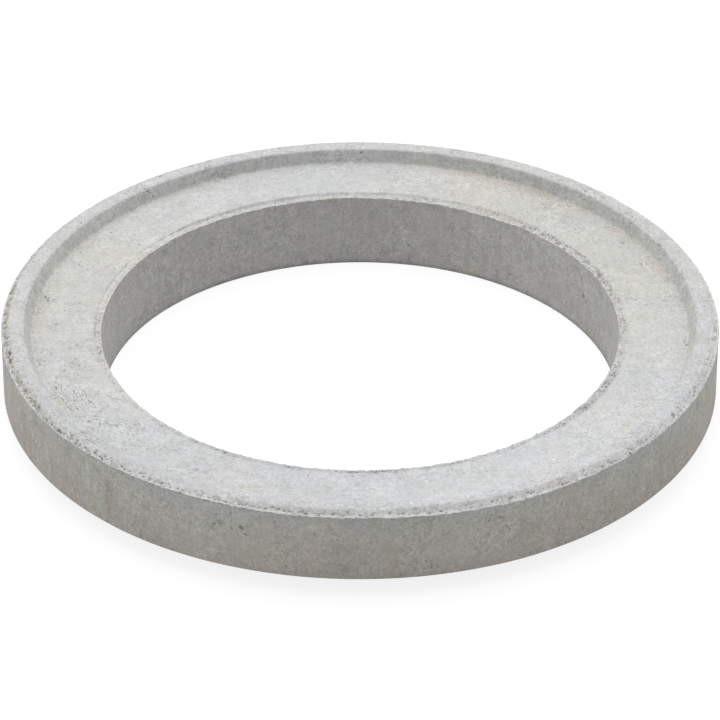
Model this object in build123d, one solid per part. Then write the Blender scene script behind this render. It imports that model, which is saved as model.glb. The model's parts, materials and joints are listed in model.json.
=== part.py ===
from build123d import *
import os

# Concrete adjusting ring for a shaft 625 mm wide. One cast piece, sizes in millimetres.
# The ring is one closed outline in the plane of radius and height, turned about +Z.
# Origin: centre of the foot's lower face. +Z is up, the way the ring is laid.

# Body
bore_diameter = 625.0
outer_diameter = 865.0
# Height that the ring adds to a shaft: lower face of the foot to the seat.
build_height = 100.0

# Raised rim that keeps the next ring or the cover frame from sliding
rim_height = 15.0
# From the outer wall in to the foot of the rim's slope. The seat is then 793 mm across.
rim_width = 36.0
rim_lead_in = 8.5
rim_foot_round = 3.0
rim_edge_round = 2.0

# Coarse bevel where the press stamp meets the jacket of the mould
bevel_width = 9.5
bevel_drop = 6.5

# Bevel along the upper edge of the bore
bore_bevel_width = 9.0
bore_bevel_drop = 5.0

# Stepped foot: it drops into the rim of the ring below
foot_clearance = 4.0
joint_gap = 10.0
foot_corner_round = 3.0
foot_edge_bevel = 2.0
shoulder_edge_round = 2.0
bore_foot_bevel = 1.5

# Sizes that follow from the ones above
bore_radius = bore_diameter / 2
outer_radius = outer_diameter / 2
seat_radius = outer_radius - rim_width
rim_top = build_height + rim_height
foot_radius = seat_radius - foot_clearance
foot_height = rim_height + joint_gap


def foot_points():
    """Lower face and side of the foot, from the bore outwards to the shoulder's corner."""
    return [
        (bore_radius, bore_foot_bevel),
        (bore_radius + bore_foot_bevel, 0),
        (foot_radius - foot_edge_bevel, 0),
        (foot_radius, foot_edge_bevel),
        (foot_radius, foot_height),
    ]


def jacket_points():
    """Shoulder over the foot, outer wall and the coarse bevel at its top."""
    return [
        (outer_radius, foot_height),
        (outer_radius, rim_top - bevel_drop),
        (outer_radius - bevel_width, rim_top),
    ]


def rim_points():
    """Flat top of the rim and its sloped inner face down to the seat."""
    return [
        (seat_radius + rim_lead_in, rim_top),
        (seat_radius, build_height),
    ]


def bore_points():
    """Inner edge of the seat and the bevel into the bore."""
    return [
        (bore_radius + bore_bevel_width, build_height),
        (bore_radius, build_height - bore_bevel_drop),
    ]


def round_corner(section, corner, radius):
    """Round one corner of the outline, found by its radius and height."""
    target = Vector(corner[0], 0, corner[1])
    vertex = min(section.vertices(), key=lambda v: (Vector(v) - target).length)
    return fillet(vertex, radius)


def ring_section():
    """The outline of half the ring, with its rounded corners."""
    outline = foot_points() + jacket_points() + rim_points() + bore_points()
    with BuildSketch(Plane.XZ) as sketch:
        with BuildLine():
            Polyline(*outline, close=True)
        make_face()
    return sketch.sketch


def concrete_ring():
    """The whole ring: the section turned once about the axis of the bore."""
    section = ring_section()
    rounds = [
        ((foot_radius, foot_height), foot_corner_round),
        ((outer_radius, foot_height), shoulder_edge_round),
        ((seat_radius + rim_lead_in, rim_top), rim_edge_round),
        ((seat_radius, build_height), rim_foot_round),
    ]
    for corner, radius in rounds:
        section = round_corner(section, corner, radius)
    ring = revolve(section, axis=Axis.Z)
    ring.label = "concrete_ring"
    return ring


os.makedirs("parts", exist_ok=True)
part = concrete_ring()
export_step(part, "parts/concrete_ring.step")
box = part.bounding_box()
print("size", [round(v, 2) for v in box.size], "lowest", round(box.min.Z, 3))
print("volume in litres", round(part.volume / 1e6, 3), "solids", len(part.solids()))
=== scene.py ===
import json
import math

import bpy
import numpy as np
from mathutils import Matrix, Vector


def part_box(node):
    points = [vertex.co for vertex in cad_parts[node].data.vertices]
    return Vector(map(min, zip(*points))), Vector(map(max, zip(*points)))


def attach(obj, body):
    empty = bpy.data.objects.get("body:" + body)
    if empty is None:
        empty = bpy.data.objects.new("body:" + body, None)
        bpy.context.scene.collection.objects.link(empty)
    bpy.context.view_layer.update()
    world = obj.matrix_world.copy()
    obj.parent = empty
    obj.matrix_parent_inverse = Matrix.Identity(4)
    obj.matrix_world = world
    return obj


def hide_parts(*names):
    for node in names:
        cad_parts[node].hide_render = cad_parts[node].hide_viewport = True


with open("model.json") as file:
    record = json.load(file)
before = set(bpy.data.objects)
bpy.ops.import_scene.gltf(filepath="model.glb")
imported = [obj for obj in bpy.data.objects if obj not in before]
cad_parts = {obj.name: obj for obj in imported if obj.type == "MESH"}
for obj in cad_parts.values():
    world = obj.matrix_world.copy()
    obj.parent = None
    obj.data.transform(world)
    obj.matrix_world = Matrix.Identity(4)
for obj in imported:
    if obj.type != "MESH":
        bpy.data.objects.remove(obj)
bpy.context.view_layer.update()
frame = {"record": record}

# The cast concrete ring: one mesh that follows the solid's section, with the crumbled bevels, burrs,
# pits and chips of pressed concrete worked into it, and one concrete material.
# Metres. +X is the photograph's right, +Y its back. Angles run from +X towards +Y, in degrees where a
# list is given.

# Sizes that come from the frame
MM = 0.001
mounts = {m["name"]: m for m in frame["record"]["mounts"]}
_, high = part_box("concrete_ring")
OUTER_R = high[0]
RIM_Z = high[2]
SEAT_Z = mounts["seat_face"]["pos_m"][2]
BORE_R = mounts["shaft_bore"]["dims"]["r_mm"] * MM
FOOT_R = mounts["foot_spigot"]["dims"]["r_mm"] * MM

# Sizes of the section that the frame doesn't name
RIM_WIDTH = 36.0 * MM
RIM_LEAD_IN = 8.5 * MM
BEVEL_WIDTH = 9.5 * MM
BEVEL_DROP = 6.5 * MM
BORE_BEVEL_WIDTH = 9.0 * MM
BORE_BEVEL_DROP = 5.0 * MM
FOOT_HEIGHT = 25.0 * MM
FOOT_EDGE = 2.0 * MM
BORE_FOOT_EDGE = 1.5 * MM
SEAT_R = OUTER_R - RIM_WIDTH

# Broken edges: how far a lip's shape fades down the face below it, how far its tears reach, and how much
# the crumbs rise and fall
LIP_FADE = 6 * MM
LIP_WIDTH = 2.2 * MM
CRUMB_DEPTH = 1.1 * MM
# The noise levels between which a gap between crumbs opens
GAP_OPENS = (0.25, 0.55)
# How ragged a pit's outline is, and the power that shapes its wall
PIT_RAGGED = 0.35
PIT_WALL = 0.7
# How far a crumb may stand into the bore
BORE_PROUD = 0.3 * MM

SEED = 7
TURN = 2 * math.pi

# Large odd numbers that scramble whole-number points into noise, and masks for their lowest bits
FACTORS = (374761393, 668265263, 1440662683)
STIR = (1274126177, 2246822519)
BITS_32 = 0xFFFFFFFF
BITS_16 = 0xFFFF


# Noise and helpers

def lattice(ix, iy, iz, seed):
    """A repeatable value from 0 to 1 for each whole-number point."""
    h = (ix * FACTORS[0] + iy * FACTORS[1] + iz * FACTORS[2] + seed * STIR[0]) & BITS_32
    h = ((h ^ (h >> 13)) * STIR[0]) & BITS_32
    h = ((h ^ (h >> 15)) * STIR[1]) & BITS_32
    return ((h ^ (h >> 16)) & BITS_16) / BITS_16


def noise(points, cell, seed):
    """Smooth noise from -1 to 1 at points (n, 3), with cells of the given size."""
    q = points / cell
    i = np.floor(q).astype(np.int64)
    f = q - i
    f = f * f * (3 - 2 * f)
    total = 0
    for dx in (0, 1):
        for dy in (0, 1):
            for dz in (0, 1):
                w = (f[:, 0] if dx else 1 - f[:, 0])
                w = w * (f[:, 1] if dy else 1 - f[:, 1])
                w = w * (f[:, 2] if dz else 1 - f[:, 2])
                total = total + w * lattice(i[:, 0] + dx, i[:, 1] + dy, i[:, 2] + dz, seed + SEED)
    return total * 2 - 1


def octaves(points, cell, count, seed):
    """Noise summed over cells that halve in size and in weight."""
    total = 0
    for k in range(count):
        total = total + noise(points, cell / 2 ** k, seed + 17 * k) / 2 ** k
    return total


def ramp(x, a, b):
    """0 below a, 1 above b, smooth between."""
    t = np.clip((x - a) / (b - a), 0, 1)
    return t * t * (3 - 2 * t)


def bump(x, centre, width):
    """1 at the centre, falling off on both sides."""
    return np.exp(-((x - centre) / width) ** 2)


def round_the_ring(theta, stops):
    """A value that changes evenly round the ring; stops are (degrees, value)."""
    degrees = [d for d, _ in stops]
    values = [v for _, v in stops]
    return np.interp(np.degrees(theta) % 360, degrees, values, period=360)


def turned(angle):
    """The same angle, between minus half a turn and half a turn."""
    return (angle + math.pi) % TURN - math.pi


# How crumbled the two edges are round the ring, from 0 for smooth to 1

def outer_rough(theta):
    return round_the_ring(theta, [
        (0, 0.9), (12, 0.6), (35, 0.3), (60, 0.2), (110, 0.25), (140, 0.45), (158, 0.85), (180, 1.0),
        (215, 1.0), (245, 0.85), (262, 0.8), (278, 0.6), (292, 0.55), (305, 0.6), (325, 0.65), (345, 0.9)])


def bore_rough(theta):
    return round_the_ring(theta, [
        (0, 0.7), (20, 0.9), (50, 0.8), (70, 0.3), (88, 0.45), (100, 0.2), (130, 0.3), (150, 0.2),
        (168, 0.3), (178, 0.9), (195, 0.8), (225, 0.6), (290, 0.55), (320, 0.85), (345, 1.0)])


# The section, as rows from the bore's foot outwards, up the wall and back over the seat

def spread(count, weight=None):
    """Angles round the ring, closer together where the weight is larger."""
    if weight is None:
        return np.arange(count) * TURN / count
    fine = np.linspace(0, TURN, 20 * 360 + 1)
    density = weight(fine)
    total = np.concatenate([[0], np.cumsum(density[1:] + density[:-1])])
    return np.interp(np.arange(count) / count, total / total[-1], fine)


# Columns of vertices: close together where an edge crumbles, wide apart where a face is plain
COLUMNS = {
    "hidden": spread(240),
    "wide": spread(360),
    "plain": spread(440),
    "outer_edge": spread(2300, lambda a: 0.8 + outer_rough(a)),
    "bore_edge": spread(1400, lambda a: 0.8 + bore_rough(a)),
}


def section_corners():
    """(radius, height, rounding, rows in the rounding) of each corner."""
    return [
        (BORE_R + BORE_FOOT_EDGE, 0, 0, 1),
        (FOOT_R - FOOT_EDGE, 0, 0, 1),
        (FOOT_R, FOOT_EDGE, 0, 1),
        (FOOT_R, FOOT_HEIGHT, 3 * MM, 2),
        (OUTER_R, FOOT_HEIGHT, 2.5 * MM, 3),
        (OUTER_R, RIM_Z - BEVEL_DROP, 0, 1),
        (OUTER_R - BEVEL_WIDTH, RIM_Z, 5.5 * MM, 3),
        (SEAT_R + RIM_LEAD_IN, RIM_Z, 3.5 * MM, 3),
        (SEAT_R, SEAT_Z, 3 * MM, 3),
        (BORE_R + BORE_BEVEL_WIDTH, SEAT_Z, 1.5 * MM, 2),
        (BORE_R, SEAT_Z - BORE_BEVEL_DROP, 0, 1),
        (BORE_R, BORE_FOOT_EDGE, 0, 1),
    ]


# For each side of the section: its name, and the spans (length from its start, row spacing, columns).
# A span with no length runs to the side's end.
SIDES = [
    ("foot_face", [(None, 13 * MM, "hidden")]),
    ("foot_edge", [(None, 3 * MM, "hidden")]),
    ("foot_side", [(None, 5 * MM, "hidden")]),
    ("shoulder", [(32 * MM, 8 * MM, "hidden"), (None, 4 * MM, "plain")]),
    ("wall", [
        (75 * MM, 8 * MM, "plain"), (81.5 * MM, 2.2 * MM, "outer_edge"), (None, 1 * MM, "outer_edge")]),
    ("bevel", [(6 * MM, 0.86 * MM, "outer_edge"), (None, 1.3 * MM, "outer_edge")]),
    ("rim", [(3.6 * MM, 1.2 * MM, "outer_edge"), (None, 3.0 * MM, "plain")]),
    ("slope", [(None, 2.4 * MM, "plain")]),
    ("seat", [(65 * MM, 8 * MM, "plain"), (None, 1.8 * MM, "bore_edge")]),
    ("bore_bevel", [(5 * MM, 1.2 * MM, "bore_edge"), (None, 0.9 * MM, "bore_edge")]),
    ("bore", [(2 * MM, 1 * MM, "bore_edge"), (16 * MM, 3.5 * MM, "plain"), (None, 6 * MM, "wide")]),
    ("bore_foot", [(None, 1.5 * MM, "wide")]),
]


def unit(v):
    return v / np.linalg.norm(v)


def section_rows():
    """Rows of the section: point (radius, height), outward normal, columns, side."""
    corners = section_corners()
    n = len(corners)
    points = [np.array(c[:2]) for c in corners]
    turns = []
    for i in range(n):
        before = unit(points[i] - points[i - 1])
        after = unit(points[(i + 1) % n] - points[i])
        angle = math.acos(max(-1.0, min(1.0, float(before @ after))))
        reach = corners[i][2] * math.tan(angle / 2)
        turns.append((points[i] - before * reach, points[i] + after * reach, before, after))
    rows = []
    for i, (name, spans) in enumerate(SIDES):
        start = turns[i][1]
        entry, leave, before, after = turns[(i + 1) % n]
        length = float(np.linalg.norm(entry - start))
        way = unit(entry - start)
        normal = np.array([way[1], -way[0]])
        at = 0.0
        for reach, step, columns in spans:
            stop = length if reach is None else reach
            count = max(1, round((stop - at) / step))
            for k in range(count):
                rows.append((start + way * (at + (stop - at) * k / count), normal, columns, name))
            at = stop
        corner = points[(i + 1) % n]
        rounding, steps = corners[(i + 1) % n][2:]
        for k in range(steps if rounding > 0 else 0):
            t = k / steps
            place = (1 - t) ** 2 * entry + 2 * t * (1 - t) * corner + t ** 2 * leave
            way = unit(before * (1 - t) + after * t)
            rows.append((place, np.array([way[1], -way[0]]), columns, name))
    return rows


class Grid:
    """All vertices of the ring, row by row, with what the relief needs to know of each."""

    def __init__(self):
        self.rows = section_rows()
        sizes = [len(COLUMNS[row[2]]) for row in self.rows]
        self.start = np.concatenate([[0], np.cumsum(sizes)])
        places = np.array([row[0] for row in self.rows])
        normals = np.array([row[1] for row in self.rows])
        steps = np.linalg.norm(np.diff(places, axis=0), axis=1)
        self.run = np.concatenate([[0], np.cumsum(steps)])
        self.names = [name for name, _ in SIDES]
        self.theta = np.concatenate([COLUMNS[row[2]] for row in self.rows])
        self.r = np.repeat(places[:, 0], sizes)
        self.z = np.repeat(places[:, 1], sizes)
        self.normal_r = np.repeat(normals[:, 0], sizes)
        self.normal_z = np.repeat(normals[:, 1], sizes)
        self.s = np.repeat(self.run, sizes)
        self.side = np.repeat([self.names.index(row[3]) for row in self.rows], sizes)
        self.out = np.zeros(len(self.r))
        self.drop = np.zeros(len(self.r))
        # How much shade is painted into each vertex, in pits and in the hollows between crumbs
        self.pit = np.zeros(len(self.r))
        self.belt = np.zeros(len(self.r))
        self.base = np.stack([self.r * np.cos(self.theta), self.r * np.sin(self.theta), self.z], 1)
        self.ragged = noise(self.base, 2.6 * MM, 31)

    def on(self, *names):
        return np.isin(self.side, [self.names.index(n) for n in names])

    def side_run(self, name):
        """Where a side starts and ends along the section."""
        mask = self.on(name)
        return self.s[mask].min(), self.s[mask].max()

    def bowl(self, theta, s, radius, depth, stretch, painted_shade):
        """Sinks a ragged pit of that radius and depth at an angle and a place along the section, and paints
        shade in it.
        """
        first, last = np.searchsorted(self.run, (s - radius, s + radius))
        for i in range(first, last):
            part = slice(self.start[i], self.start[i + 1])
            across = (self.run[i] - s) / radius
            along = turned(self.theta[part] - theta) * self.rows[i][0][0] / (radius * stretch)
            inside = 1 + PIT_RAGGED * self.ragged[part] - across ** 2 - along ** 2
            fall = np.clip(inside, 0, 1) ** PIT_WALL
            self.out[part] -= depth * fall
            self.pit[part] = np.maximum(self.pit[part], painted_shade * fall)


grid = Grid()
rng = np.random.default_rng(SEED)
# Positions with the height left out, for noise that is the same at every height
flat = grid.base * (1, 1, 0)


# Relief. Each function works on the whole grid.

def crumble(zone, seed):
    """Hollows between grains, with shade painted into them, and grains that stand proud, where the zone
    says so.
    """
    wide = ramp(octaves(grid.base, 2.2 * MM, 2, seed), *GAP_OPENS)
    fine = ramp(noise(grid.base, 1.5 * MM, seed + 1), *GAP_OPENS)
    grains = np.clip(noise(grid.base, 2.0 * MM, seed + 2), 0, 1)
    grid.out += zone * CRUMB_DEPTH * (0.7 * grains - 0.9 * wide - 0.5 * fine)
    grid.pit = np.maximum(grid.pit, zone * np.maximum(wide, 0.75 * fine))


def reshaped(across, width, height, edge, band, tilt, shoulder):
    """How far a straight bevel sinks to become a nearly level band at its lower edge and a steeper slope.

    across: distance from the face below. edge: how much lower the edge lies than the straight bevel's.
    band and tilt: the band's width and its rise per length. shoulder: where the slope meets the top.
    """
    straight = -height * np.clip(1 - across / width, 0, 1)
    edge_at = -(height + edge)
    band_at = edge_at + band * tilt
    slope = band_at * (1 - (across - band) / (shoulder - band))
    wanted = np.where(across < band, edge_at + across * tilt, np.minimum(slope, 0))
    return straight - wanted


def outer_bevel_relief():
    """Crumbs along the bevel, and the ragged lip that the stamp squeezes out along the wall's edge."""
    start, _ = grid.side_run("bevel")
    up = grid.s - start
    across = OUTER_R - grid.r
    bevel = grid.on("bevel")
    rough = outer_rough(grid.theta)
    edge = round_the_ring(grid.theta, [
        (0, 2.2), (30, 1.0), (60, 0.3), (120, 0.3), (180, 2.2), (211, 2.2), (220, 0.9), (230, -0.6),
        (242, -1.1), (252, -1.1), (262, -0.7), (272, -0.8), (281, 0.7), (291, 1.3), (301, 2.0), (312, 1.4),
        (322, 1.1), (332, 1.3), (342, 2.5)])
    band = round_the_ring(grid.theta, [
        (0, 3.0), (240, 3.0), (255, 4.0), (264, 5.4), (280, 5.6), (291, 3.2)])
    band = band * (1 + 0.25 * noise(flat, 17 * MM, 4))
    tilt = round_the_ring(grid.theta, [
        (0, 0.75), (60, 0.65), (120, 0.65), (180, 0.9), (212, 0.9), (225, 0.6), (240, 0.5), (252, 0.4),
        (264, 0.34), (280, 0.34), (292, 0.6), (301, 0.78), (330, 0.72)])
    shoulder = round_the_ring(grid.theta, [
        (0, 10.4), (60, 9.6), (120, 9.6), (180, 9.2), (210, 9.3), (235, 10.2), (262, 10.8), (280, 10.8),
        (298, 9.6), (320, 10.0), (340, 10.4), (352, 11.4)]) + 0.35 * noise(flat, 30 * MM, 5)
    wavy = edge + 0.35 * noise(flat, 16 * MM, 9)
    shape = reshaped(across, BEVEL_WIDTH, BEVEL_DROP, wavy * MM, band * MM, tilt, shoulder * MM)
    grid.drop += grid.on("bevel", "rim") * shape
    below = np.clip(start - grid.s, 0, None)
    grid.drop += grid.on("wall") * bump(below, 0, LIP_FADE) * wavy * MM
    # The lip's edge is ragged, and it stands up here and there
    torn = (0.4 + 0.6 * rough) * noise(flat, 3.8 * MM, 10)
    grid.drop += grid.on("wall", "bevel") * bump(up, 0, LIP_WIDTH) * torn * MM
    tall = np.clip(0.35 + 0.5 * noise(flat, 22 * MM, 6) + 0.7 * noise(flat, 5 * MM, 7), 0, None)
    grid.out += bevel * bump(up, 1.3 * MM, 1.0 * MM) * tall * MM
    # Crumbs lie in a belt inside the lip, which is wide at the left and narrow at the front
    centre = round_the_ring(grid.theta, [
        (0, 5.0), (90, 5.5), (180, 6.0), (200, 4.4), (215, 3.3), (235, 3.5), (250, 4.6), (262, 6.1),
        (280, 5.6), (296, 3.0), (310, 3.2), (330, 4.4)])
    reach = round_the_ring(grid.theta, [
        (0, 4.0), (90, 3.0), (180, 5.2), (200, 3.4), (215, 2.3), (235, 2.0), (262, 1.9), (280, 1.9),
        (297, 1.7), (315, 2.4), (340, 3.4)])
    off = np.abs(up / MM - centre - 0.7 * noise(flat, 26 * MM, 11))
    belt = 1 - ramp(off, 0.55 * reach, 1.2 * reach)
    # At the front and the right they come in clusters
    steady = round_the_ring(grid.theta, [
        (0, 0.2), (30, 0), (140, 0), (165, 1), (245, 1), (275, 0.5), (295, 0)])
    belt = belt * np.maximum(steady, ramp(noise(flat, 26 * MM, 8), -0.35, 0.35))
    force = round_the_ring(grid.theta, [
        (0, 0.75), (90, 0.7), (180, 1.0), (205, 0.8), (235, 0.65), (262, 0.85), (285, 0.8), (330, 0.8)])
    grid.belt = grid.on("bevel", "rim") * belt * force * (0.2 + 0.8 * rough)
    crumble(grid.belt + 0.05 * grid.on("bevel", "rim"), 60)


def crumbled_strip():
    """How much each vertex belongs to the broken strip of the seat along the bore's edge, at the front."""
    away = (grid.r - BORE_R) / MM + 1.3 * noise(flat, 7 * MM, 18)
    reach = round_the_ring(grid.theta, [
        (20, 11.0), (170, 9.0), (200, 12.0), (225, 13.5), (255, 14.5), (300, 15.5), (332, 16.5),
        (350, 12.5)])
    share = round_the_ring(grid.theta, [
        (8, 0.5), (25, 0.4), (48, 0.0), (165, 0.0), (185, 0.5), (205, 0.45), (225, 0.9), (270, 0.9),
        (305, 1.0), (332, 1.15), (350, 0.7)])
    patchy = np.clip(1 + 0.5 * noise(flat, 20 * MM, 19), 0, 1.2)
    return grid.on("seat", "bore_bevel") * share * patchy * (1 - ramp(away, reach - 3.0, reach))


def bore_edge_relief():
    """A steep step along the seat's inner edge, then a nearly level bead with a torn lower edge."""
    start, end = grid.side_run("bore_bevel")
    inward = grid.s - start
    across = np.clip(grid.r - BORE_R, 0, BORE_BEVEL_WIDTH)
    bevel = grid.on("bore_bevel")
    rough = bore_rough(grid.theta)
    edge = round_the_ring(grid.theta, [
        (0, -1.5), (15, -1.4), (45, -0.8), (60, 1.0), (75, 0.0), (95, -1.0), (110, 0.2), (120, 0.0),
        (130, -1.1), (140, -2.3), (150, -2.9), (165, -2.6), (175, -2.2), (200, -1.6), (280, -1.0),
        (295, -0.2), (318, -0.2), (332, -1.0)])
    band = round_the_ring(grid.theta, [
        (0, 5.0), (45, 5.6), (65, 5.8), (90, 5.5), (115, 5.6), (135, 8.0), (165, 8.5), (190, 7.0),
        (225, 5.0)])
    tilt = round_the_ring(grid.theta, [
        (0, 0.36), (22, 0.28), (45, 0.42), (65, 0.5), (82, 0.34), (90, 0.28), (115, 0.26), (135, 0.15),
        (150, 0.1), (170, 0.12), (190, 0.25), (225, 0.4), (350, 0.4)])
    # How far the bead's lower edge has sagged where it is torn off
    soft = round_the_ring(grid.theta, [
        (0, 0.7), (50, 0.5), (70, 0.2), (120, 0.3), (135, 0.9), (150, 1.5), (170, 1.6), (200, 1.0)])
    wavy = edge + 0.3 * noise(flat, 14 * MM, 16)
    band = band * (1 + 0.12 * noise(flat, 24 * MM, 14))
    shape = reshaped(
        across, BORE_BEVEL_WIDTH, BORE_BEVEL_DROP, wavy * MM, band * MM, tilt, BORE_BEVEL_WIDTH)
    grid.drop += bevel * shape
    below = np.clip(grid.s - end, 0, None)
    grid.drop += grid.on("bore") * bump(below, 0, LIP_FADE) * wavy * MM
    torn = soft + (0.9 + 0.5 * rough) * noise(flat, 3.6 * MM, 17)
    lower = end - start
    grid.drop += grid.on("bore", "bore_bevel") * bump(inward, lower, LIP_WIDTH) * torn * MM
    zone = ramp(inward, -3.0 * MM, 1.5 * MM) * (1 - ramp(inward, lower - 1.5 * MM, lower + 1.5 * MM))
    zone = zone * grid.on("bore_bevel", "seat", "bore") * (0.1 + 0.6 * rough)
    crumble(np.maximum(zone, 0.75 * crumbled_strip()), 70)


def scatter_pits(name, tries, rough, place, spread_out, radii, depths, painted_shade):
    """Random pits along a side, most where the edge is crumbled, each with shade painted into it."""
    start, end = grid.side_run(name)
    for _ in range(tries):
        theta = rng.uniform(0, TURN)
        keep = rng.uniform()
        where = start + (end - start) * rng.normal(place, spread_out)
        radius = rng.uniform(*radii) * MM
        depth = radius * rng.uniform(*depths)
        stretch = rng.uniform(0.9, 1.9)
        shade = rng.uniform(*painted_shade)
        if keep < float(rough(np.array(theta))) ** 1.6:
            grid.bowl(theta, where, radius, depth, stretch, shade)


# Larger chips: the side and how far across it, degrees, radius and depth in mm, stretch, and the darkness
# of the shade painted into the chip
CHIPS = [
    ("bore_bevel", 0.55, 336, 3.2, 2.2, 1.3, 0.8),
    ("bore_bevel", 0.6, 333, 2.0, 1.4, 1.2, 0.6),
    ("bore_bevel", 0.5, 329.5, 1.8, 1.3, 1.6, 0.6),
    ("bore_bevel", 0.6, 323, 2.0, 1.2, 1.3, 0.6),
    ("bore_bevel", 0.8, 21, 3.4, 1.8, 1.5, 0.3),
    ("bore_bevel", 0.45, 15, 2.4, 1.5, 1.0, 0.7),
    ("bore_bevel", 0.75, 28, 4.0, 2.2, 1.4, 0.3),
    ("bore_bevel", 0.3, 33, 2.0, 1.3, 1.1, 0.6),
    ("bore_bevel", 0.8, 38, 3.4, 1.6, 1.7, 0.3),
    ("bore_bevel", 0.35, 42.5, 1.8, 1.1, 1.2, 0.6),
    ("bore_bevel", 0.85, 49, 2.8, 1.4, 1.5, 0.3),
    ("bore_bevel", 0.9, 91, 2.2, 1.6, 1.0, 0.5),
    ("bore_bevel", 0.4, 93, 1.6, 1.0, 1.0, 0.7),
    ("bore_bevel", 0.85, 74, 2.0, 1.0, 1.8, 0.4),
    ("bore_bevel", 0.3, 127, 1.6, 1.0, 1.0, 0.6),
    ("bore_bevel", 0.5, 189, 1.8, 1.2, 1.5, 0.6),
    ("bore_bevel", 0.4, 194, 2.0, 1.2, 1.6, 0.6),
    ("rim", 0.04, 127, 2.4, 1.4, 2.4, 0.6),
    ("bevel", 0.6, 353, 2.4, 1.6, 1.2, 0.7),
    ("bevel", 0.55, 329, 2.2, 1.6, 1.3, 0.8),
    ("bevel", 0.45, 317, 1.8, 1.2, 1.3, 0.7),
    ("bevel", 0.7, 187, 2.6, 1.8, 1.0, 0.8),
]


def chip(side, across, degrees, radius, depth, stretch, painted_shade):
    start, end = grid.side_run(side)
    grid.bowl(math.radians(degrees), start + (end - start) * across, radius * MM, depth * MM, stretch, painted_shade)


def waviness():
    """Faces that aren't quite true, about a quarter of a millimetre inside the solid's."""
    soft = octaves(grid.base, 90 * MM, 3, 21)
    plain = grid.on("wall", "rim", "slope", "seat", "bore", "shoulder", "foot_side")
    grid.out += plain * 0.2 * MM * (soft - 1.2)
    # The stamp leaves the slope's upper edge soft and slightly uneven
    softness = round_the_ring(grid.theta, [
        (0, 1.4), (25, 1.0), (60, 0.4), (110, 0.5), (140, 1.0), (160, 0.6), (195, 0.6), (212, 1.5),
        (250, 1.7), (300, 1.4), (335, 1.8)])
    worn = bump(grid.r, SEAT_R + RIM_LEAD_IN, 4 * MM) * grid.on("rim", "slope")
    grid.out -= worn * softness * MM * (0.7 + 0.5 * noise(flat, 18 * MM, 22))


outer_bevel_relief()
bore_edge_relief()
scatter_pits("bevel", 620, outer_rough, 0.4, 0.2, (0.9, 1.7), (0.5, 1.0), (0.4, 1.0))
scatter_pits("bevel", 300, outer_rough, 1.0, 0.25, (0.9, 1.5), (0.4, 0.8), (0.2, 0.7))
scatter_pits("bore_bevel", 600, bore_rough, 0.5, 0.3, (0.9, 1.8), (0.4, 0.9), (0.2, 0.7))
for row in CHIPS:
    chip(*row)
waviness()

moved_r = np.clip(grid.r + grid.normal_r * grid.out, BORE_R - BORE_PROUD, OUTER_R)
moved_z = np.clip(grid.z + grid.normal_z * grid.out - grid.drop, 0, RIM_Z)
vertices = np.stack([moved_r * np.cos(grid.theta), moved_r * np.sin(grid.theta), moved_z], 1)


# Colour of each vertex, before the grain that the material adds

# Linear colours of the concrete
PALE = np.array((0.600, 0.610, 0.602))
COOL = np.array((0.596, 0.613, 0.628))
WARM = np.array((0.612, 0.600, 0.562))
SLOPE = np.array((0.553, 0.558, 0.535))
WALL = np.array((0.615, 0.603, 0.565))
WALL_HEAD = np.array((0.595, 0.598, 0.572))
WALL_FOOT = np.array((0.600, 0.565, 0.520))
BORE = np.array((0.600, 0.590, 0.572))
DUSTY = np.array((0.645, 0.632, 0.607))
EARTHY = np.array((0.550, 0.522, 0.478))
FOOT = np.array((0.540, 0.530, 0.500))
STAIN = np.array((0.585, 0.540, 0.480))
SMEAR = np.array((0.540, 0.498, 0.445))

# How pale each part is round the ring
LIGHTNESS = [
    (("bore_bevel",), [
        (0, 1.07), (25, 1.1), (60, 1.16), (90, 1.07), (140, 1.07), (160, 1.11), (190, 1.12), (215, 1.07)]),
    (("seat", "bore_bevel"), [
        (0, 1.0), (30, 0.99), (60, 1.0), (90, 1.02), (120, 1.02), (150, 1.01), (180, 0.99), (210, 1.01),
        (245, 0.98), (270, 0.99), (300, 1.03), (330, 1.02)]),
    (("rim",), [
        (0, 0.98), (30, 0.99), (60, 0.99), (90, 1.02), (120, 1.0), (150, 1.01), (180, 1.01), (210, 0.93),
        (240, 0.93), (270, 0.95), (300, 1.02), (330, 0.96)]),
    (("bevel",), [
        (0, 1.14), (60, 1.04), (120, 1.04), (180, 1.1), (210, 1.06), (235, 1.12), (262, 1.04), (280, 1.08),
        (298, 1.19), (312, 1.16), (328, 1.11), (342, 1.13), (352, 1.16)]),
    (("slope",), [
        (0, 0.97), (40, 1.03), (65, 0.98), (90, 1.03), (115, 1.0), (140, 1.05), (180, 1.04), (200, 1.11),
        (320, 1.12), (345, 1.08)]),
    (("wall", "shoulder"), [
        (180, 0.89), (200, 0.92), (215, 0.94), (230, 0.98), (252, 1.04), (270, 0.97), (290, 1.03),
        (310, 0.99), (325, 0.95), (360, 0.91)]),
    (("bore",), [
        (0, 0.95), (20, 0.97), (40, 1.05), (60, 1.04), (90, 0.98), (120, 1.01), (140, 0.98), (180, 0.95)]),
]


def blend(colour, other, share):
    """The colour, moved towards the other by a share for each vertex."""
    share = np.clip(1.0 * share, 0, 1)[:, None]
    return colour * (1 - share) + other * share


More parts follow.
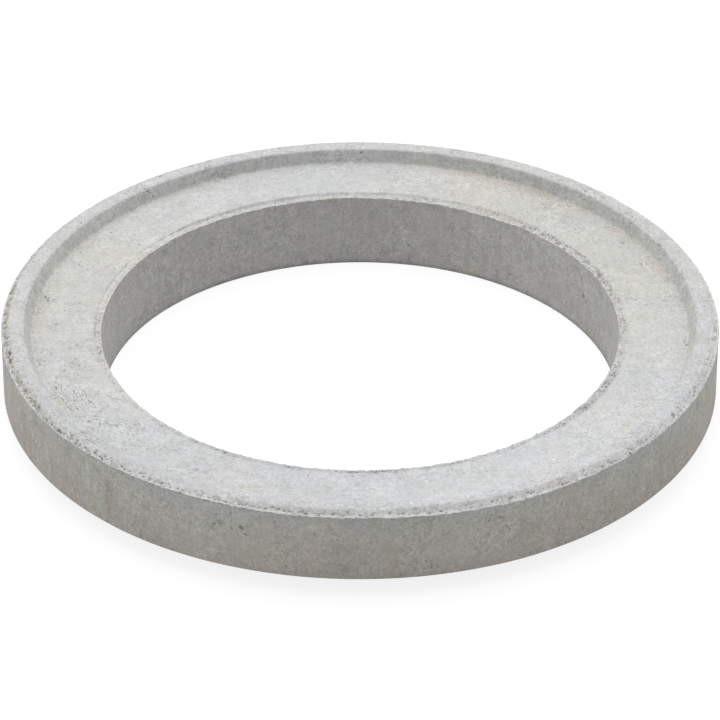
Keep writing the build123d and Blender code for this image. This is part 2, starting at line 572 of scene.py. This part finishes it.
# Where the surface is more broken up: degrees, radius, height and size in mm, and amount
PATCHES = [
    (171, 388, 100, 14, 1.0), (176, 391, 100, 10, 0.8), (182, 369, 100, 9, 0.9), (193, 393, 100, 14, 0.9),
    (203, 388, 100, 24, 1.0), (207, 372, 100, 30, 1.0), (215, 380, 100, 26, 0.9), (198, 365, 100, 22, 0.6),
    (208, 340, 100, 26, 0.5), (231, 352, 100, 20, 0.6), (240, 385, 107, 30, 0.5), (222, 405, 112, 30, 0.7),
    (117, 401, 107, 17, 1.0), (113.5, 404, 110, 12, 0.9), (121, 402, 107, 11, 0.8),
    (127.5, 404, 109, 8, 0.6), (132.5, 404, 109, 15, 1.0),
    (15, 398, 104, 18, 0.7), (8, 390, 101, 18, 0.6), (354, 397, 101, 14, 0.8),
    (34, 360, 100, 16, 0.6), (44, 366, 100, 22, 0.6), (24, 401, 107, 16, 0.8), (36, 401, 107, 18, 0.7),
    (52, 401, 107, 14, 0.5), (30, 391, 100, 14, 0.6), (172, 351, 100, 12, 0.5), (188, 346, 100, 14, 0.5),
    (45, 416, 114, 22, 0.7), (28, 412, 114, 20, 0.6), (30, 374, 100, 16, 0.8), (40, 350, 100, 18, 0.6),
    (50, 380, 100, 20, 0.7), (22, 386, 100, 16, 0.7), (60, 386, 100, 18, 0.5), (195, 350, 100, 20, 0.7),
    (220, 352, 100, 22, 0.7), (190, 380, 100, 15, 0.6), (216, 396, 101, 18, 0.8), (226, 372, 100, 22, 0.6),
    (300, 415, 114, 40, 0.4), (320, 415, 114, 34, 0.5), (270, 420, 114, 30, 0.4),
]


def worn_places():
    """How much the surface is broken up at each vertex, from 0 to 1."""
    total = np.zeros(len(grid.r))
    ragged = 0.35 * octaves(grid.base, 14 * MM, 2, 81)
    for degrees, radius, height, size, amount in PATCHES:
        angle = math.radians(degrees)
        centre = np.array((radius * math.cos(angle), radius * math.sin(angle), height)) * MM
        away = np.linalg.norm(grid.base - centre, axis=1) / (size * MM)
        total = np.maximum(total, amount * (1 - ramp(away + ragged, 0.5, 1.3)))
    edges = grid.on("bevel") * outer_rough(grid.theta) + grid.on("bore_bevel") * bore_rough(grid.theta)
    edges = np.maximum(0.4 * edges, np.maximum(0.8 * grid.belt, 0.7 * crumbled_strip()))
    return np.clip(np.maximum(total, edges), 0, 1)


def cast_colours(cloud, patch):
    """The faces that the stamp shapes: cool at the front, warm at the back, darker at the slope's foot."""
    warmth = round_the_ring(grid.theta, [
        (0, 0.45), (30, 0.85), (60, 0.8), (90, 0.3), (120, 0.15), (150, 0.6), (180, 0.6), (205, 0.35),
        (235, 0.1), (270, 0.05), (300, 0.0), (330, 0.1)])
    seat_share = (grid.r - BORE_R) / (SEAT_R - BORE_R)
    colour = np.tile(PALE, (len(grid.r), 1))
    colour = blend(colour, COOL, 0.9 - warmth * 1.3 + 0.35 * patch)
    on_seat = grid.on("seat", "bore_bevel")
    colour = blend(colour, WARM, on_seat * (warmth * 1.1 + 0.35 * cloud + 0.25 * patch))
    colour = blend(colour, WARM, grid.on("rim", "bevel") * (warmth * 0.35 + 0.25 * patch))
    # Darker towards the slope's foot, where the seat meets the slope
    root = grid.on("seat") * ramp(seat_share, 0.82, 1.0)
    root = root * round_the_ring(grid.theta, [(0, 1.0), (195, 1.0), (215, 0.3), (330, 0.3), (350, 0.8)])
    colour = colour * (1 - root * (0.06 + 0.05 * patch))[:, None]
    # A little rust colour near the slope in places
    stain = round_the_ring(grid.theta, [
        (0, 0.6), (20, 0.8), (65, 0.9), (85, 0.1), (145, 0.0), (160, 0.8), (200, 0.8), (215, 0.2),
        (340, 0.3)])
    stain = stain * bump(grid.r, SEAT_R - 5 * MM, 9 * MM) * grid.on("seat")
    return blend(colour, STAIN, stain * (0.4 + 0.9 * patch))


def wall_colours(cloud, patch):
    """The outer wall: grey under the bevel, browner towards the foot, with brown smears."""
    height = (grid.z - FOOT_HEIGHT) / (RIM_Z - BEVEL_DROP - FOOT_HEIGHT)
    side = blend(np.tile(WALL, (len(grid.r), 1)), WALL_FOOT, ramp(0.75 - height + 0.4 * patch, 0.0, 0.7))
    side = blend(side, WALL_HEAD, ramp(height + 0.2 * cloud, 0.72, 0.95))
    smear = ramp(noise(grid.base * (1, 1, 0.3), 17 * MM, 44), 0.1, 0.8)
    smear = smear * round_the_ring(grid.theta, [
        (150, 0.2), (200, 0.8), (225, 1.0), (250, 0.2), (275, 0.5), (330, 0.5)])
    return blend(side, SMEAR, smear * (1 - 0.7 * ramp(height, 0.6, 0.9)))


def edge_colours(colour, patch):
    """Dust on the burr and on the bore's bead, and earth in the crumbled bevel, most at the left."""
    start, _ = grid.side_run("bevel")
    up = grid.s - start
    colour = blend(colour, DUSTY, grid.on("bevel") * (0.35 + 0.45 * bump(up, 2.2 * MM, 2.0 * MM)))
    earthy = round_the_ring(grid.theta, [
        (0, 0.1), (120, 0.3), (150, 0.7), (180, 0.75), (200, 0.5), (230, 0.15), (300, 0.05)])
    gutter = grid.on("bevel") * ramp(up, 3.0 * MM, 5.0 * MM)
    colour = blend(colour, EARTHY, gutter * (earthy + 0.2 * patch))
    start, _ = grid.side_run("bore_bevel")
    bead = grid.on("bore_bevel") * ramp(grid.s - start, 3.5 * MM, 6.0 * MM)
    return blend(colour, DUSTY, bead * 0.8)


def lightness(cloud):
    """How pale each vertex is. The strip along the bore and parts of the outer lip are greyer."""
    start, _ = grid.side_run("bevel")
    greyed = round_the_ring(grid.theta, [
        (240, 0), (262, 0.6), (282, 0.5), (300, 0), (322, 1.0), (340, 1.0), (355, 0)])
    lip = grid.on("bevel") * bump(grid.s - start, 1.0 * MM, 2.5 * MM) * greyed
    pale = (1 + 0.012 * cloud) * (1 - 0.11 * crumbled_strip()) * (1 - 0.13 * lip)
    for names, stops in LIGHTNESS:
        part = grid.on(*names)
        pale[part] *= round_the_ring(grid.theta[part], stops)
    return pale


def vertex_colours():
    cloud = octaves(grid.base, 130 * MM, 3, 41)
    patch = octaves(grid.base, 45 * MM, 3, 43)
    colour = cast_colours(cloud, patch)
    colour = blend(colour, SLOPE, grid.on("slope"))
    colour = blend(colour, wall_colours(cloud, patch), grid.on("wall", "shoulder"))
    colour = blend(colour, BORE, grid.on("bore"))
    colour = blend(colour, FOOT, grid.on("foot_face", "foot_edge", "foot_side", "bore_foot"))
    colour = edge_colours(colour, patch)
    return colour * lightness(cloud)[:, None]


# What the material needs to know of each face: a value for all, and what some sides add to it
FACE_VALUES = {
    "contrast": (0.97, [
        (("rim", "slope"), 0.35), (("bevel",), 0.4), (("bore_bevel",), 0.35), (("wall", "shoulder"), 0.6),
        (("bore", "foot_side", "foot_face"), 0.65)]),
    "streaks": (0.0, [(("bore",), 0.8), (("wall",), 0.12)]),
    "dots": (0.0, [(("wall", "shoulder"), 1.15), (("bore",), 1.0)]),
    "dashed": (1.0, [(("slope",), -0.8)]),
}


def face_value(name):
    value, added = FACE_VALUES[name]
    total = np.full(len(grid.r), value)
    for sides, amount in added:
        total += amount * grid.on(*sides)
    return total


# The mesh

def joined(a, b):
    """Faces between two rows: quads where their columns agree, and otherwise triangles."""
    first, second = COLUMNS[grid.rows[a][2]], COLUMNS[grid.rows[b][2]]
    n, m = len(first), len(second)
    p, q = int(grid.start[a]), int(grid.start[b])
    if first is second:
        return [(p + k, p + (k + 1) % n, q + (k + 1) % n, q + k) for k in range(n)]
    faces = []
    i = j = 0
    while i < n or j < m:
        next_i = first[i + 1] if i + 1 < n else TURN
        next_j = second[j + 1] if j + 1 < m else TURN
        if j == m or (i < n and next_i <= next_j):
            faces.append((p + i, p + (i + 1) % n, q + j % m))
            i += 1
        else:
            faces.append((p + i % n, q + (j + 1) % m, q + j))
            j += 1
    return faces


def strip_map(mesh, row_of):
    """A map for textures: half the ring to a strip, with the section's run across it."""
    layer = mesh.uv_layers.new(name="OFBake")
    loops = len(mesh.loops)
    vertex = np.empty(loops, dtype=np.int64)
    mesh.loops.foreach_get("vertex_index", vertex)
    total = grid.run[-1] + float(np.linalg.norm(grid.rows[0][0] - grid.rows[-1][0]))
    face_start = np.array([p.loop_start for p in mesh.polygons])
    face_of = np.repeat(np.arange(len(face_start)), np.diff(np.append(face_start, loops)))
    theta = grid.theta[vertex]
    s = grid.s[vertex]
    # A face that closes the ring or the section keeps its corners on one side of the cut
    theta_face = np.maximum.reduceat(theta, face_start)[face_of]
    theta = np.where(theta_face - theta > math.pi, theta + TURN, theta)
    last_row = np.array(row_of)[face_of] == len(grid.rows) - 1
    s = np.where(last_row & (s < total / 2), s + total, s)
    middle = (np.add.reduceat(theta, face_start) / np.diff(np.append(face_start, loops)))[face_of]
    half = (middle >= math.pi).astype(float)
    margin = 0.006
    u = margin + (1 - 2 * margin) * (theta - half * math.pi) / math.pi
    v = (half + margin + (1 - 2 * margin) * s / total) / 2
    layer.data.foreach_set("uv", np.stack([u, v], 1).ravel())


def crisp_edges(mesh):
    """Which edges run along the lips of the outer wall and of the bore."""
    ends = np.empty(2 * len(mesh.edges), dtype=np.int64)
    mesh.edges.foreach_get("vertices", ends)
    ends = ends.reshape(-1, 2)
    crisp = np.zeros(len(ends), dtype=bool)
    for name in ("bevel", "bore"):
        row = [r[3] for r in grid.rows].index(name)
        crisp |= ((ends >= grid.start[row]) & (ends < grid.start[row + 1])).all(1)
    return crisp


def ring_mesh():
    """The mesh with its map, its crisp lips and the attributes that the material reads."""
    faces = []
    row_of = []
    for a in range(len(grid.rows)):
        between = joined(a, (a + 1) % len(grid.rows))
        faces += between
        row_of += [a] * len(between)
    mesh = bpy.data.meshes.new("concrete_ring_cast")
    mesh.from_pydata(vertices.tolist(), [], faces)
    mesh.polygons.foreach_set("use_smooth", [True] * len(mesh.polygons))
    strip_map(mesh, row_of)
    mesh.attributes.new("sharp_edge", "BOOLEAN", "EDGE").data.foreach_set("value", crisp_edges(mesh))
    values = {name: face_value(name) for name in FACE_VALUES}
    # The shade painted into pits and hollows, which the material reads
    values["pit"] = grid.pit
    values["worn"] = worn_places()
    for name, value in values.items():
        mesh.attributes.new(name, "FLOAT", "POINT").data.foreach_set("value", value.astype(np.float32))
    tint = mesh.attributes.new("tint", "FLOAT_COLOR", "POINT")
    rgba = np.concatenate([vertex_colours(), np.ones((len(grid.r), 1))], 1)
    tint.data.foreach_set("color", rgba.astype(np.float32).ravel())
    return mesh


# Material

class Nodes:
    """Short calls for shader nodes. An input takes a number, a colour or another node's output."""

    def __init__(self, tree):
        self.tree = tree
        tree.nodes.clear()

    def feed(self, socket, value):
        if isinstance(value, bpy.types.NodeSocket):
            self.tree.links.new(value, socket)
        elif value is not None:
            socket.default_value = value

    def add(self, kind, **settings):
        node = self.tree.nodes.new(kind)
        for name, value in settings.items():
            setattr(node, name, value)
        return node

    def math(self, operation, a, b=None):
        node = self.add("ShaderNodeMath", operation=operation)
        self.feed(node.inputs[0], a)
        self.feed(node.inputs[1], b)
        return node.outputs[0]

    def vector(self, operation, *values, output="Vector"):
        """A vector operation on tuples or other nodes' outputs."""
        node = self.add("ShaderNodeVectorMath", operation=operation)
        for socket, value in zip(node.inputs, values):
            self.feed(socket, value)
        return node.outputs[output]

    def scaled(self, value, low, high, to_low, to_high):
        """The value moved from one range to another, smoothly and held at the ends."""
        node = self.add("ShaderNodeMapRange", interpolation_type="SMOOTHSTEP")
        for socket, v in zip(node.inputs, (value, low, high, to_low, to_high)):
            self.feed(socket, v)
        return node.outputs[0]

    def total(self, parts):
        """The sum of the parts, each (value, weight)."""
        result = 0.0
        for value, weight in parts:
            result = self.math("ADD", self.math("MULTIPLY", value, weight), result)
        return result

    def attribute(self, name, output="Fac"):
        return self.add("ShaderNodeAttribute", attribute_name=name).outputs[output]

    def noise(self, vector, size, detail, roughness=0.5, output=0):
        """Noise whose features are about that size in metres, around 0.5. Output 1 is one in colour."""
        node = self.add("ShaderNodeTexNoise")
        self.feed(node.inputs["Vector"], vector)
        self.feed(node.inputs["Scale"], 1 / size)
        self.feed(node.inputs["Detail"], detail)
        self.feed(node.inputs["Roughness"], roughness)
        return node.outputs[output]

    def cells(self, vector, size):
        """Distance to the nearest of scattered points, in cells, and a random value for each point."""
        node = self.add("ShaderNodeTexVoronoi")
        self.feed(node.inputs["Vector"], vector)
        self.feed(node.inputs["Scale"], 1 / size)
        split = self.add("ShaderNodeSeparateColor")
        self.feed(split.inputs[0], node.outputs["Color"])
        return node.outputs["Distance"], split.outputs[0]

    def mix(self, a, b, share):
        node = self.add("ShaderNodeMix", data_type="RGBA")
        self.feed(node.inputs["Factor"], share)
        self.feed(node.inputs[6], a)
        self.feed(node.inputs[7], b)
        return node.outputs[2]

    def dimmed(self, colour, gain):
        """The colour times a number for each point."""
        node = self.add("ShaderNodeVectorMath", operation="SCALE")
        self.feed(node.inputs[0], colour)
        self.feed(node.inputs["Scale"], gain)
        return node.outputs[0]


ROUGHNESS = 0.93
SPECULAR = 0.25
BUMP_DEPTH = 0.5 * MM

# How far each noise swings the colour round its level, and how much each kind of flaw darkens it; in pores,
# gaps and pits this darkening is painted shade
SWING = {
    "sand": 0.11, "grain": 0.62, "mottle": 0.38, "patch": 0.26, "cloud": 0.24, "dashes": 0.14,
    "streak": 0.16}
LOSS = {"fine_pores": 0.28, "gaps": 0.44, "large_pores": 0.55, "flakes": 0.44, "dots": 0.42, "pit_shade": 0.46}
MOST_LOST = 0.7

# The hue's change from place to place, for red, green and blue: its range and its lowest value
HUE_RANGE = (0.11, 0.05, 0.14)
HUE_LOWEST = (0.945, 0.975, 0.93)
RUST = (0.36, 0.24, 0.13, 1)

# Dark dashes on the worn seat: how long they are round the ring, and how wide
DASH_LENGTH = 9 * MM
DASH_WIDTH = 3 * MM


def scattered(n, cells, least, most, reach):
    """A mask of round spots: one in each cell whose random value lies between least and most."""
    distance, chance = cells
    chosen = n.math("MULTIPLY", n.math("GREATER_THAN", chance, least), n.math("LESS_THAN", chance, most))
    return n.math("MULTIPLY", n.scaled(distance, reach * 0.55, reach, 1.0, 0.0), chosen)


def dashes_round(n, place):
    """Noise that is long round the ring and thin across it."""
    level = n.vector("MULTIPLY", place, (1, 1, 0))
    away = n.vector("LENGTH", level, output="Value")
    towards = n.vector("NORMALIZE", level)
    node = n.add("ShaderNodeTexNoise", noise_dimensions="4D")
    n.feed(node.inputs["Vector"], n.dimmed(towards, SEAT_R / DASH_LENGTH))
    n.feed(node.inputs["W"], n.math("DIVIDE", away, DASH_WIDTH))
    n.feed(node.inputs["Scale"], 1.0)
    n.feed(node.inputs["Detail"], 3.0)
    return node.outputs[0]


# Single marks: degrees, radius, height and size in mm, darkness
MARKS = [
    (251.9, 432.5, 82, 4.6, 0.5), (252.7, 432.5, 74, 3.4, 0.35), (250.4, 432.5, 79, 2.0, 0.3),
    (291.7, 432.5, 90, 3.2, 0.3), (292.7, 432.5, 76, 3.4, 0.3), (317.6, 432.5, 75, 3.0, 0.3),
    (235.4, 432.5, 72, 5.0, 0.16), (27.6, 312.5, 52, 5.2, 0.45), (26.2, 312.5, 48, 3.6, 0.35),
    (170.7, 389.0, 100, 2.6, 0.45), (353.4, 394.5, 100, 2.6, 0.45), (104.3, 418.0, 115, 2.0, 0.4),
    (174.6, 391.3, 100, 2.4, 0.4), (180.0, 366.3, 100, 2.6, 0.4), (182.3, 370.3, 100, 2.2, 0.35),
    (213.4, 370.9, 100, 2.4, 0.35),
]


def mark(n, place, degrees, radius, height, size, wobble):
    """A mask for one ragged spot."""
    angle = math.radians(degrees)
    centre = (radius * MM * math.cos(angle), radius * MM * math.sin(angle), height * MM)
    away = n.vector("LENGTH", n.vector("SUBTRACT", place, centre), output="Value")
    return n.scaled(n.math("ADD", away, wobble), size * MM, size * 0.4 * MM, 0.0, 1.0)


def varied(n, parts):
    """1 plus the sum of each part's swing round 0.5; parts are (value, amount)."""
    total = 1.0
    for value, amount in parts:
        swing = n.math("MULTIPLY", n.math("SUBTRACT", value, 0.5), amount)
        total = n.math("ADD", swing, total)
    return total


def textures(n, place):
    """Sand, grain, mottling of the paste, wider patches and clouds, and the cells that hold pores."""
    stretched = n.vector("MULTIPLY", place, (1, 1, 0.09))
    return {
        "sand": n.cells(place, 2.2 * MM)[1],
        "grain": n.noise(place, 1.6 * MM, 3.0, 0.65),
        "mottle": n.noise(place, 4.6 * MM, 2.0, 0.55),
        "patch": n.noise(place, 12 * MM, 2.0, 0.55),
        "cloud": n.noise(place, 38 * MM, 3.0, 0.55),
        "dashes": dashes_round(n, place),
        "streak": n.noise(stretched, 6 * MM, 2.0, 0.6),
        "crowd": n.scaled(n.noise(place, 55 * MM, 2.0), 0.36, 0.64, 0.0, 1.0),
        "small": n.cells(place, 4.2 * MM),
        "large": n.cells(place, 12 * MM),
    }


def grained(n, colour, look, worn, speckled):
    """The colour under the swing of each noise. Some areas are grainier than others."""
    uneven = n.math("ADD", n.math("MULTIPLY", look["crowd"], 0.6), 0.75)
    rough = n.math("ADD", uneven, n.math("MULTIPLY", worn, 0.3))
    strength = n.math("MULTIPLY", n.attribute("contrast"), rough)
    # Moulded walls are speckled with dark dots but less blotchy than the cast faces
    calm = n.math("SUBTRACT", 1.0, n.math("MULTIPLY", speckled, 0.15))
    blotchy = n.math("MULTIPLY", strength, calm)
    shares = {"grain": strength, "mottle": blotchy, "patch": blotchy, "streak": n.attribute("streaks")}
    parts = []
    for name, amount in SWING.items():
        if name in shares:
            amount = n.math("MULTIPLY", shares[name], amount)
        parts.append((look[name], amount))
    return n.dimmed(colour, varied(n, parts))


def hued(n, colour, place):
    """The colour with a slight change of hue from place to place."""
    hue = n.noise(place, 22 * MM, 3.0, 0.7, output=1)
    return n.vector("MULTIPLY", colour, n.vector("MULTIPLY_ADD", hue, HUE_RANGE, HUE_LOWEST))


def fine_flaws(n, place, look, worn):
    """Shade painted into small pores everywhere, and into gaps between grains where the surface is worn."""
    pores = scattered(n, look["small"], 0.0, 0.28, 0.25)
    opened = n.scaled(worn, 0.1, 0.8, 0, 1)
    gaps = n.math("MULTIPLY", scattered(n, n.cells(place, 3.1 * MM), 0.0, 0.5, 0.33), opened)
    return n.total([(pores, LOSS["fine_pores"]), (gaps, LOSS["gaps"])])


def large_flaws(n, place, look, worn, speckled):
    """Shade painted into pores in crowds and into pits, dashes where the seat is worn, dots on the walls,
    and marks.
    """
    pores = scattered(n, look["large"], 0.0, 0.22, 0.125)
    pores = n.math("MULTIPLY", pores, n.math("ADD", look["crowd"], 0.35))
    dashed = n.math("MULTIPLY", worn, n.attribute("dashed"))
    flakes = n.math("MULTIPLY", n.scaled(look["dashes"], 0.56, 0.63, 0.0, 1.0), dashed)
    dots = n.math("MULTIPLY", scattered(n, n.cells(place, 6.5 * MM), 0.0, 0.6, 0.16), speckled)
    ragged = n.math("ADD", n.math("MULTIPLY", n.math("SUBTRACT", look["grain"], 0.5), 4.0), 1.0)
    # Shade painted into pits and hollows, broken up by the grain
    pit_shade = n.scaled(n.math("MULTIPLY", n.attribute("pit"), ragged), 0.2, 0.7, 0.0, 1.0)
    wobble = n.math("MULTIPLY", n.math("SUBTRACT", look["mottle"], 0.5), 6 * MM)
    marks = [(mark(n, place, *row[:4], wobble), row[4]) for row in MARKS]
    return n.total([
        (pores, LOSS["large_pores"]), (flakes, LOSS["flakes"]), (dots, LOSS["dots"]), (pit_shade, LOSS["pit_shade"]),
        *marks])


def concrete():
    mat = bpy.data.materials.new("cast_concrete")
    mat.use_nodes = True
    n = Nodes(mat.node_tree)
    out = n.add("ShaderNodeOutputMaterial")
    bsdf = n.add("ShaderNodeBsdfPrincipled")
    bsdf.inputs["Roughness"].default_value = ROUGHNESS
    bsdf.inputs["Specular IOR Level"].default_value = SPECULAR
    place = n.add("ShaderNodeTexCoord").outputs["Object"]
    worn = n.attribute("worn")
    speckled = n.attribute("dots")
    look = textures(n, place)
    colour = grained(n, n.attribute("tint", "Color"), look, worn, speckled)
    colour = hued(n, colour, place)
    fine = fine_flaws(n, place, look, worn)
    # The flaws darken the colour: painted shade in pores, gaps and pits, with dark dashes, dots and marks
    lost = n.math("ADD", fine, large_flaws(n, place, look, worn, speckled))
    colour = n.dimmed(colour, n.math("SUBTRACT", 1.0, n.math("MINIMUM", lost, MOST_LOST)))
    pale_grains = scattered(n, look["small"], 0.78, 1.0, 0.22)
    colour = n.dimmed(colour, n.math("ADD", 1.0, n.math("MULTIPLY", pale_grains, 0.1)))
    rusty = scattered(n, look["large"], 0.965, 1.0, 0.14)
    colour = n.mix(colour, RUST, n.math("MULTIPLY", rusty, 0.5))
    n.feed(bsdf.inputs["Base Color"], colour)

    # Bump of the same grain and pores
    height = varied(n, [(look["grain"], 0.6), (look["mottle"], 0.7), (look["sand"], 0.12)])
    height = n.math("SUBTRACT", height, n.math("MULTIPLY", fine, 1.4))
    relief = n.add("ShaderNodeBump")
    relief.inputs["Strength"].default_value = 1.0
    relief.inputs["Distance"].default_value = BUMP_DEPTH
    n.feed(relief.inputs["Height"], height)
    n.feed(bsdf.inputs["Normal"], relief.outputs[0])
    n.feed(out.inputs[0], bsdf.outputs[0])
    return mat


ring = bpy.data.objects.new("concrete_ring_cast", ring_mesh())
bpy.context.collection.objects.link(ring)
ring.data.materials.append(concrete())
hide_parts("concrete_ring")
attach(ring, "root")


# Floor, light and camera

# The floor's half width, what the camera sees of it without and with light, and what lights the object
FLOOR_HALF = 6.0
FLOOR_GLOW = 0.84
FLOOR_SHOWN = (0.24, 0.24, 0.24, 1)
FLOOR_LIT = (0.58, 0.58, 0.57, 1)

# The sky's strength is its level plus what each axis adds: brightest overhead, brighter behind the object
# than before it, and a little brighter on the left
SKY_LEVEL = 0.30
SKY_AXES = (-0.12, 0.63, 1.14)

# The camera fitted to the photograph: a long lens, seen from above the front
LENS = 225.0
SENSOR = 36.0
ELEVATION = math.radians(32.5)
DISTANCE = 5.4906
AIM_UP = math.radians(0.435)


def seen_white(n, lit, shown):
    """One shader for what lights the object, another for what the camera and reflections show."""
    path = n.add("ShaderNodeLightPath")
    seen = n.math("MAXIMUM", path.outputs["Is Camera Ray"], path.outputs["Is Glossy Ray"])
    seen = n.math("MAXIMUM", seen, path.outputs["Is Transmission Ray"])
    mix = n.add("ShaderNodeMixShader")
    n.feed(mix.inputs[0], seen)
    n.feed(mix.inputs[1], lit)
    n.feed(mix.inputs[2], shown)
    return mix.outputs[0]


def backdrop():
    """A floor that the camera sees as white, with the object's shadow on it."""
    mesh = bpy.data.meshes.new("floor")
    corners = [(x * FLOOR_HALF, y * FLOOR_HALF, 0) for x, y in ((-1, -1), (1, -1), (1, 1), (-1, 1))]
    mesh.from_pydata(corners, [], [(0, 1, 2, 3)])
    floor = bpy.data.objects.new("floor", mesh)
    bpy.context.collection.objects.link(floor)
    mat = bpy.data.materials.new("floor_white")
    mat.use_nodes = True
    n = Nodes(mat.node_tree)
    glow = n.add("ShaderNodeEmission")
    glow.inputs["Strength"].default_value = FLOOR_GLOW
    pale = n.add("ShaderNodeBsdfDiffuse")
    pale.inputs["Color"].default_value = FLOOR_SHOWN
    shown = n.add("ShaderNodeAddShader")
    n.feed(shown.inputs[0], glow.outputs[0])
    n.feed(shown.inputs[1], pale.outputs[0])
    lit = n.add("ShaderNodeBsdfDiffuse")
    lit.inputs["Color"].default_value = FLOOR_LIT
    out = n.add("ShaderNodeOutputMaterial")
    n.feed(out.inputs[0], seen_white(n, lit.outputs[0], shown.outputs[0]))
    mesh.materials.append(mat)


def sky():
    """Soft light from an overcast sky. White to the camera."""
    world = bpy.data.worlds.new("sky")
    bpy.context.scene.world = world
    world.use_nodes = True
    n = Nodes(world.node_tree)
    way = n.add("ShaderNodeTexCoord").outputs["Generated"]
    along = n.vector("DOT_PRODUCT", way, SKY_AXES, output="Value")
    strength = n.math("MAXIMUM", n.math("ADD", along, SKY_LEVEL), 0.0)
    light = n.add("ShaderNodeBackground")
    n.feed(light.inputs["Strength"], strength)
    white = n.add("ShaderNodeBackground")
    out = n.add("ShaderNodeOutputWorld")
    for node in (light, white):
        node.inputs["Color"].default_value = (1, 1, 1, 1)
    n.feed(out.inputs[0], seen_white(n, light.outputs[0], white.outputs[0]))


def camera():
    """The photograph's view."""
    data = bpy.data.cameras.new("camera")
    data.sensor_width = SENSOR
    data.lens = LENS
    data.clip_end = 100.0
    cam = bpy.data.objects.new("camera", data)
    bpy.context.collection.objects.link(cam)
    cam.location = (0, -DISTANCE * math.cos(ELEVATION), DISTANCE * math.sin(ELEVATION))
    cam.rotation_euler = (math.radians(90) - ELEVATION + AIM_UP, 0, 0)
    bpy.context.scene.camera = cam


backdrop()
sky()
camera()
bpy.context.scene.view_settings.view_transform = "Standard"
